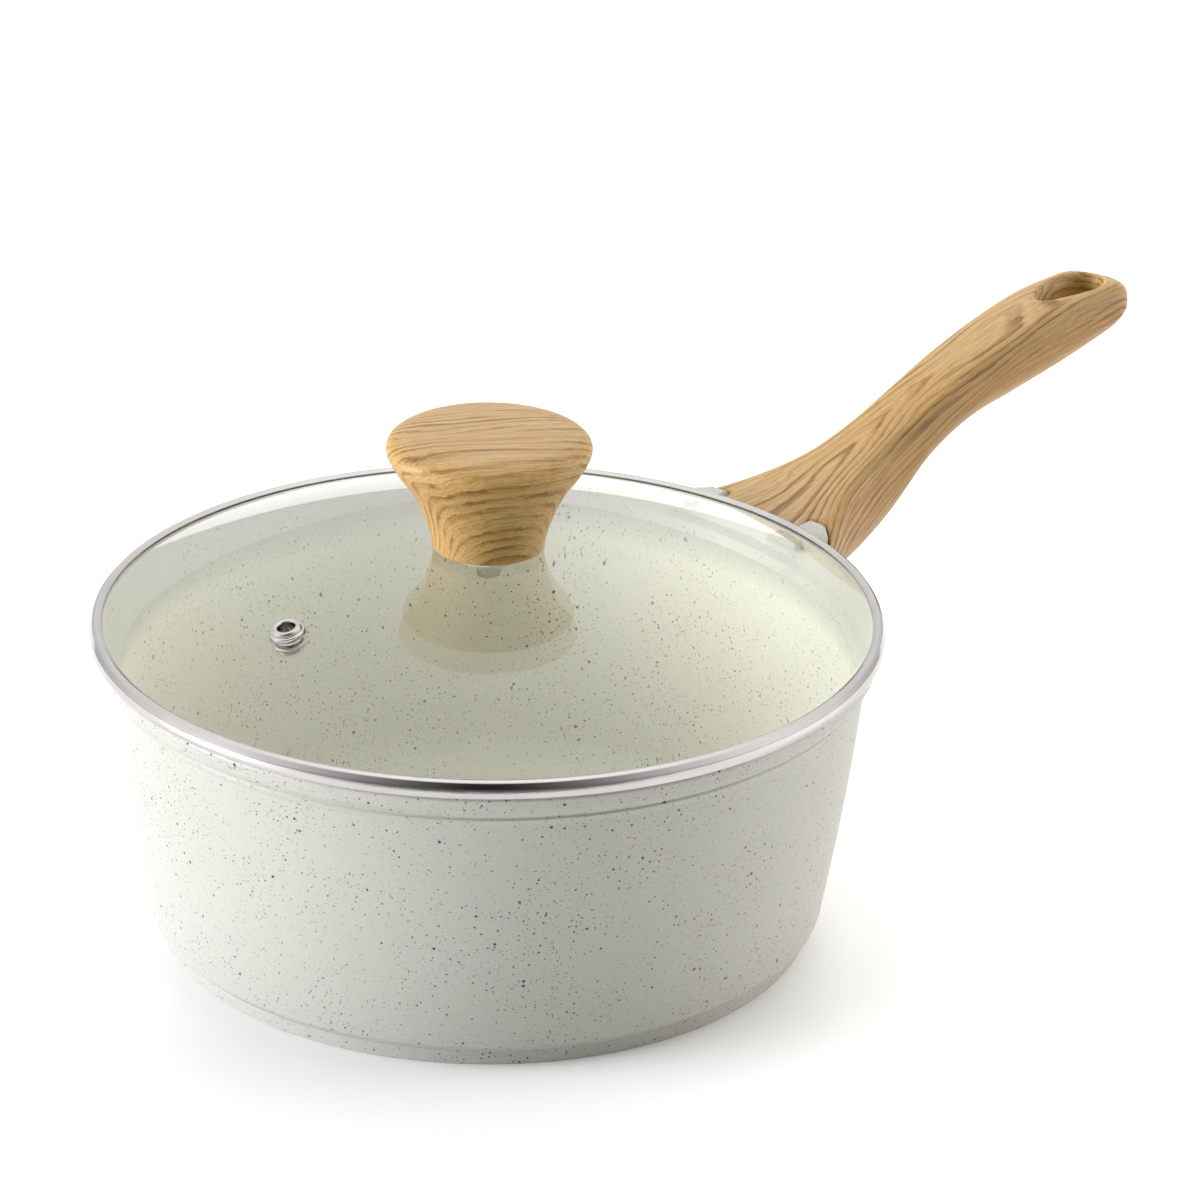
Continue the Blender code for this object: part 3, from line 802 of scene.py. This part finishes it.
def make_handle_fixings():
    """The screw and its washer, and the bracket, whose edges are eased."""
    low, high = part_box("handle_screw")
    place = Matrix.Translation((SCREW_S * MM, 0, 0))
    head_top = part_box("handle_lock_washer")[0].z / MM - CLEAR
    mesh = screw_mesh("handle_bolt", 2.35, high.z / MM, head_top, 4.4, head_top - low.z / MM, place)
    piece("handle_bolt", mesh, FIXING, "pan", "fixing_steel", "handle_screw", sharp=40)
    finish_node("handle_lock_washer", FIXING)
    finish_node("handle_bracket", STONE, 0.6)


# ---------------------------------------------------------------- lid
APEX = GLASS_TOP + sagitta(DOME_R, HOLE_R)       # the dome's top, if it had no hole


def glass_outside(r):
    return APEX - sagitta(DOME_R, r)


def glass_inside(r):
    """The underside of glass of even thickness."""
    return APEX - GLASS_T - sagitta(DOME_R - GLASS_T, r)


def glass_under(r):
    """The pane's visible underside: it thins evenly outwards, so it never bends the view like a lens."""
    thin = (EDGE_LOW - glass_inside(PANE_R)) / (PANE_R - KNOB_FOOT_R)
    return glass_inside(r) + thin * max(0.0, r - KNOB_FOOT_R)


def vent_matrix():
    """From the vent's own axis to its place, square to the dome."""
    across = VENT_R * math.cos(VENT_ANGLE), VENT_R * math.sin(VENT_ANGLE)
    spot = Vector((*across, glass_outside(VENT_R))) * MM
    slope = math.asin(VENT_R / DOME_R)
    return Matrix.Translation(spot) @ Matrix.Rotation(VENT_ANGLE, 4, "Z") @ Matrix.Rotation(slope, 4, "Y")


def make_glass():
    """The domed pane with its two holes."""
    hole_edge = HOLE_R + 0.3
    outer = [(r, glass_outside(r)) for r in (hole_edge + (PANE_R - HOLE_R) * i / 40 for i in range(41))]
    edge = rounded([
        outer[-2] + (0.0,),
        (GLASS_R, glass_outside(GLASS_R), 0.4),
        (GLASS_R, EDGE_LOW, 0.4),
        (99.5, EDGE_LOW, 0.0),
    ])
    inner = [(r, glass_under(r)) for r in (PANE_R - (PANE_R - HOLE_R - 0.3) * i / 60 for i in range(61))]
    profile = [(HOLE_R, glass_outside(HOLE_R) - 0.3)] + outer[:-2] + edge + inner
    profile.append((HOLE_R, glass_inside(HOLE_R) + 0.3))
    drill = lathe("drill", [(0, 9), (3.3, 9), (3.3, -9), (0, -9)], ROUND_SMALL, False, vent_matrix())
    mesh = cut(lathe("lid_pane", profile), drill)
    piece("lid_pane", mesh, GLASS, "lid", "lid_glass", "lid_glass", sharp=40)


def make_band():
    """The rolled steel band: a bright channel closed over the glass edge."""
    top, lip_r = BAND_TOP, 98.9
    seat = glass_outside(lip_r) + 0.1
    corners = [
        (lip_r, seat, 0.0),
        (98.95, seat + 0.3, 0.12),
        (100.3, top, 0.9),
        (101.3, top - 0.55, 1.0),
        (102.2, top - 1.8, 1.2),
        (BAND_R, top - 3.1, 0.8),
        (BAND_R - 0.2, top - 4.3, 0.5),
        (BAND_R - 0.9, top - 4.7, 0.3),
        (99.2, top - 4.7, 0.25),
        (99.2, top - 4.1, 0.25),
        (101.6, top - 4.1, 0.3),
        (101.8, top - 3.0, 0.5),
        (101.5, top - 1.9, 0.5),
        (100.8, top - 1.1, 0.5),
    ]
    mesh = lathe("rim_band", rounded(corners, closed=True))
    piece("rim_band", mesh, BRIGHT, "lid", "bright_steel", "lid_band")


def make_vent():
    """The steam vent: a two-tier eyelet flared over a ring under the glass."""
    under = glass_under(VENT_R) - glass_outside(VENT_R)      # the glass's underside, from its top
    corners = [
        (2.25, 2.4, 0.5), (3.2, 2.7, 0.6), (3.95, 2.1, 0.6), (3.95, 1.45, 0.2), (4.5, 1.3, 0.4),
        (4.75, 0.15, 0.2), (2.7, 0.15, 0.0), (2.7, under - 1.5, 0.2), (3.6, under - 2.2, 0.3),
        (3.4, under - 2.6, 0.25), (2.25, under - 1.7, 0.6),
    ]
    mesh = lathe("vent_rivet", rounded(corners, closed=True), 96, place=vent_matrix())
    piece("vent_rivet", mesh, BRIGHT, "lid", "bright_steel", "vent_eyelet")
    high, low = under - 0.4, under - 1.1
    corners = [(2.95, high, 0.1), (4.2, high, 0.3), (4.2, low, 0.3), (2.95, low, 0.1)]
    mesh = lathe("vent_collar", rounded(corners, closed=True), 96, place=vent_matrix())
    piece("vent_collar", mesh, FIXING, "lid", "bright_steel", "vent_ring")


def knob_grain(p):
    """A point's place in the knob's wood: its grain lies level, across the view, and arches at the neck."""
    turn = math.radians(-39)
    along = p.x * math.cos(turn) + p.y * math.sin(turn)
    across = -p.x * math.sin(turn) + p.y * math.cos(turn)
    rise = p.z - KNOB_LOW
    bow = 0.055 * max(0.0, 1.0 - rise / 24.0) ** 1.5
    return (along, across + 10.0, rise + bow * (along - 2.0) ** 2)


def make_knob():
    """The turned knob: a flat mushroom on a waist, hollow where it stands on its gasket."""
    drops = (                                    # radius, depth below the top
        (0.0, 0.0), (5.0, 0.03), (10.0, 0.12), (14.5, 0.32), (18.5, 0.62), (22.0, 1.15), (24.3, 1.9),
        (25.7, 3.0), (26.25, 4.4), (26.05, 5.8), (25.4, 7.4), (24.1, 9.6), (22.5, 11.9),
        (20.7, 14.3), (18.5, 18.2), (16.6, 22.7), (15.1, 27.0),
    )
    foot = (KNOB_FOOT_R, KNOB_LOW + 0.5)
    outside = [(r, KNOB_TOP - drop) for r, drop in drops] + [(14.55, KNOB_LOW + 1.2), foot]
    ceiling, bore_r, bore_top = KNOB_LOW + 1.6, 4.5, KNOB_LOW + 14.3
    inside = rounded([
        (*foot, 0), (KNOB_FOOT_R, glass_outside(KNOB_FOOT_R) + 0.1, 0.3),
        (KNOB_MOUTH_R, glass_outside(KNOB_MOUTH_R) + 0.1, 0.2), (KNOB_MOUTH_R, ceiling, 0.2),
        (bore_r, ceiling, 0.2), (bore_r, bore_top, 0.0),
    ])
    profile = spline(outside, per=4)[:-1] + inside + [(0.0, bore_top)]
    mesh = lathe("lid_knob", profile, 160, closed=False)
    store_grain(mesh, knob_grain)
    piece("lid_knob", mesh, WOOD_KNOB, "lid", "wood_look_knob", "knob", sharp=50)


def make_knob_fixings():
    """The screw from inside the lid, and the small CAD parts on it."""
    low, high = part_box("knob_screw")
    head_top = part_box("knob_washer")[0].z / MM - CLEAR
    head_h = head_top - low.z / MM
    mesh = screw_mesh("knob_bolt", 1.9, high.z / MM, head_top, 4.0, head_h, Matrix.Identity(4))
    piece("knob_bolt", mesh, FIXING, "lid", "fixing_steel", "knob_screw", sharp=40)
    finish_node("knob_insert", BRASS)
    finish_node("knob_seat_gasket", SILICONE)
    finish_node("knob_inner_gasket", SILICONE)
    finish_node("knob_washer", FIXING)


make_pan()
make_plate()
make_grip()
make_horn_caps()
make_handle_fixings()
make_glass()
make_band()
make_vent()
make_knob()
make_knob_fixings()


# ---------------------------------------------------------------- floor, light and camera
def make_floor():
    """A plain pale floor, far wider than the view."""
    half = 6.0                                   # metres from the middle to each side
    mesh = bpy.data.meshes.new("floor")
    corners = [(-half, -half, 0), (half, -half, 0), (half, half, 0), (-half, half, 0)]
    mesh.from_pydata(corners, [], [(0, 1, 2, 3)])
    floor = place_object("floor", mesh)
    n = Nodes("floor")
    grain = n.noise(n.object_mm(), 0.05, 2.0)
    n.give("Base Color", n.mix(grain, (0.93, 0.93, 0.93), (0.95, 0.95, 0.95)))
    n.set(Roughness=0.6)
    floor.data.materials.append(n.mat)


class Sky(Graph):
    """A world of soft round glows, placed by degrees round from the viewer and degrees up."""

    def __init__(self):
        self.world = bpy.data.worlds.new("studio")
        super().__init__(self.world)
        self.towards = self.vector("NORMALIZE", self.add("TexCoord").outputs["Generated"])

    def vector(self, operation, *values):
        node = self.fill(self.add("VectorMath", operation=operation), *values)
        return node.outputs["Value" if operation == "DOT_PRODUCT" else "Vector"]

    def scale(self, vector, factor):
        node = self.fill(self.add("VectorMath", operation="SCALE"), vector)
        self.wire(factor, node.inputs["Scale"])
        return node.outputs["Vector"]

    def glow(self, around, rise, sharpness):
        """1 in the middle of the glow, falling smoothly to 0."""
        a, e = math.radians(around), math.radians(rise)
        middle = Vector((math.sin(a) * math.cos(e), -math.cos(a) * math.cos(e), math.sin(e)))
        facing = self.vector("DOT_PRODUCT", self.towards, Matrix.Rotation(VIEW_TURN, 3, "Z") @ middle)
        return self.math("EXPONENT", self.math("MULTIPLY_ADD", facing, sharpness, -sharpness))

    def glows(self, *rows):
        """The sum of glows given as (degrees round, degrees up, sharpness, strength, colour)."""
        total = (0.0, 0.0, 0.0)
        for around, rise, sharpness, strength, color in rows:
            light = self.scale(tuple(strength * c for c in color), self.glow(around, rise, sharpness))
            total = self.vector("ADD", light, total)
        return total

    def background(self, color):
        return self.fill(self.add("Background"), color).outputs[0]


def make_light():
    """A white tent: soft lamps left, right and behind; what shines in the steel and glass is broad and
    even, with the dark of the room towards the viewer."""
    sky = Sky()
    bpy.context.scene.world = sky.world
    cool, plain, warm = (0.985, 0.99, 1.04), (1.0, 1.0, 1.0), (1.02, 1.0, 0.95)
    lamps = sky.glows(
        (280, 8, 20.0, 25.0, cool), (100, 8, 20.0, 9.2, warm), (180, 8, 12.0, 5.1, plain),
        (180, 42, 8.0, 1.8, plain), (118, 40, 10.0, 1.6, warm), (0, 90, 6.0, 1.2, plain),
    )
    shine = sky.glows(
        (180, 25, 3.0, 0.83, plain), (270, 25, 3.0, 1.1, plain),
        (90, 25, 3.0, 1.1, plain), (0, 90, 5.0, 1.2, plain),
    )
    dark = sky.math("MULTIPLY_ADD", sky.glow(0, 42, 6.0), -0.96, 1.0)
    path = sky.add("LightPath").outputs
    glossy = sky.math("MAXIMUM", path["Is Glossy Ray"], path["Is Transmission Ray"])
    seen = sky.mix_shaders(glossy, sky.background(lamps), sky.background(sky.scale(shine, dark)))
    white = sky.background((1.0, 1.0, 1.0, 1.0))
    sky.show(sky.mix_shaders(path["Is Camera Ray"], seen, white))


def make_camera():
    """The viewpoint: 47 degrees round from the handle's side and 24 degrees up, through a long lens."""
    turn = Matrix.Rotation(VIEW_TURN, 3, "Z")
    down, yaw, roll = 0.4136, 0.0244, 0.0166     # radians; the pan is a little off the middle of the frame
    place = Vector((0.0, -11.4633, 5.8971)) * BAND_R * MM    # in radii of the lid
    level = Vector((math.sin(yaw), math.cos(yaw), 0.0)) * math.cos(down)
    forward = turn @ (level - Vector((0.0, 0.0, math.sin(down))))
    right = turn @ Vector((math.cos(yaw), -math.sin(yaw), 0.0))
    up = right.cross(forward)
    level_right = right * math.cos(roll) + up * math.sin(roll)
    level_up = up * math.cos(roll) - right * math.sin(roll)
    matrix = Matrix((level_right, level_up, -forward)).transposed().to_4x4()
    matrix.translation = turn @ place
    data = bpy.data.cameras.new("camera")
    data.lens = 150.0
    data.sensor_width = 36.0
    data.sensor_fit = "HORIZONTAL"
    camera = place_object("camera", data)
    camera.matrix_world = matrix
    bpy.context.scene.camera = camera


make_floor()
make_light()
make_camera()
bpy.context.scene.view_settings.view_transform = "Standard"
